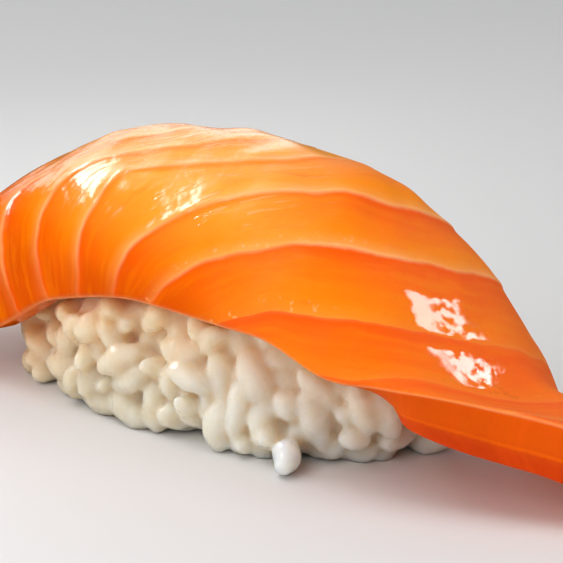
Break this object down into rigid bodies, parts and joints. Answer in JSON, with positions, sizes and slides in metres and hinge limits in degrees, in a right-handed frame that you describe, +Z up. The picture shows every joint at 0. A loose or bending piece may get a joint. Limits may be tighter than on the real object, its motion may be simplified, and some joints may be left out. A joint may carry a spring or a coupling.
{
  "type": "salmon nigiri",
  "caption": "Hand-pressed loaf of rice with a long, draped slice of raw salmon over it, ending in a drooping tail.",
  "frame": {"origin": "middle of the flat underside of the rice loaf, where the piece stands", "axes": "+X along the slice towards its drooping tail, +Y towards the back side, +Z up out of the table"},
  "size_m": [0.0947, 0.0273, 0.0282],
  "materials": {
    "cooked_rice": "moist, slightly translucent cooked grains",
    "salmon_flesh": "wet orange flesh with pale fat lines"
  },
  "bodies": {
    "root": {"rice": "cooked_rice", "salmon": "salmon_flesh"}
  },
  "joints": []
}
